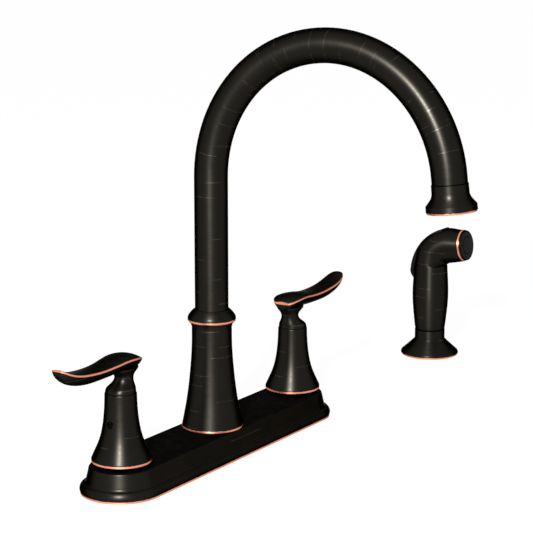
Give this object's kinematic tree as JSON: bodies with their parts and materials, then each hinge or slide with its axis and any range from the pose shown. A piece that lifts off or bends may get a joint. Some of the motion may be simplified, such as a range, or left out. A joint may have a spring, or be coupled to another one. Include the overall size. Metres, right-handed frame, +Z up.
{
  "type": "two handle kitchen faucet",
  "caption": "Deck-mounted kitchen faucet with a long cover plate, lever handles on flared bells, a swivelling high arc spout and a side spray in its holder.",
  "frame": {"origin": "on the deck surface, on the axis that the spout turns on, midway between the handles", "axes": "+Z up, +X towards the right-hand handle and the side spray, -Y towards the user, the way the spout reaches"},
  "size_m": [0.4961, 0.2186, 0.3493],
  "materials": {
    "bronze": "oil rubbed bronze, satin, worn to copper on its edges",
    "spray_bronze": "bronze coated moulding, worn to copper on its edges",
    "brass": "cast and machined",
    "copper": "drawn copper tube",
    "steel": "stainless",
    "rubber": "matt moulded",
    "plastic": "moulded acetal",
    "ceramic": "ground ceramic"
  },
  "bodies": {
    "deck_set": {"deck_plate": "bronze", "plate_gasket": "rubber", "spout_post": "brass", "post_seals": "rubber", "spout_clip": "steel", "diverter": "plastic", "spray_nipple": "brass", "hub_washer": "plastic", "waterway_tube_left": "copper", "waterway_tube_right": "copper", "valve_body_left": "brass", "valve_body_right": "brass", "cartridge_left": "plastic", "cartridge_right": "plastic", "fixed_disc_left": "ceramic", "fixed_disc_right": "ceramic", "bonnet_nut_left": "brass", "bonnet_nut_right": "brass", "mount_washer_left": "steel", "mount_washer_right": "steel", "mount_nut_left": "plastic", "mount_nut_right": "plastic", "spray_holder": "spray_bronze", "holder_washer": "rubber", "holder_nut": "plastic"},
    "spout": {"spout_tube": "bronze", "spout_hub": "bronze", "spout_collar": "bronze", "spout_sleeve": "brass", "spout_outlet": "bronze", "outlet_washer": "rubber", "aerator": "plastic"},
    "left_handle": {"handle_left": "bronze", "set_screw_left": "steel", "stem_adapter_left": "plastic", "valve_stem_left": "brass", "turning_disc_left": "ceramic"},
    "right_handle": {"handle_right": "bronze", "set_screw_right": "steel", "stem_adapter_right": "plastic", "valve_stem_right": "brass", "turning_disc_right": "ceramic"},
    "hose_end": {"spray_swivel": "brass", "swivel_clip": "steel"},
    "wand": {"spray_wand": "spray_bronze", "spray_nozzle": "plastic", "trigger_pin": "steel", "stem_guide": "plastic", "spray_spring": "steel", "spring_seat": "rubber"},
    "trigger": {"spray_trigger": "spray_bronze"},
    "spray_valve": {"spray_stem": "steel"}
  },
  "joints": [
    {"name": "spout_swivel", "type": "hinge", "parent": "deck_set", "child": "spout", "pos_m": [0, 0, 0], "axis": [0, 0, 1], "continuous": true},
    {"name": "left_handle_turn", "type": "hinge", "parent": "deck_set", "child": "left_handle", "pos_m": [-0.1016, 0, 0], "axis": [0, 0, 1], "range_deg": [0, 90]},
    {"name": "right_handle_turn", "type": "hinge", "parent": "deck_set", "child": "right_handle", "pos_m": [0.1016, 0, 0], "axis": [0, 0, 1], "range_deg": [-90, 0]},
    {"name": "wand_lift", "type": "slide", "parent": "deck_set", "child": "hose_end", "axis": [0, 0, 1], "range_m": [0, 0.12]},
    {"name": "wand_turn", "type": "hinge", "parent": "hose_end", "child": "wand", "pos_m": [0.309, 0, 0], "axis": [0, 0, 1], "continuous": true},
    {"name": "trigger_press", "type": "hinge", "parent": "wand", "child": "trigger", "pos_m": [0.309, -0.013, 0.0984], "axis": [1, 0, 0], "range_deg": [-4.5, 0], "stiffness_Nm_per_rad": 1, "springref_deg": 0.57},
    {"name": "spray_valve_slide", "type": "slide", "parent": "wand", "child": "spray_valve", "axis": [0, 0, 1], "range_m": [-0.0009, 0], "deforming": ["spray_spring"]}
  ],
  "couplings": [
    {"joint": "trigger_press", "follows": "spray_valve_slide", "rad_per_m": 76.92}
  ]
}
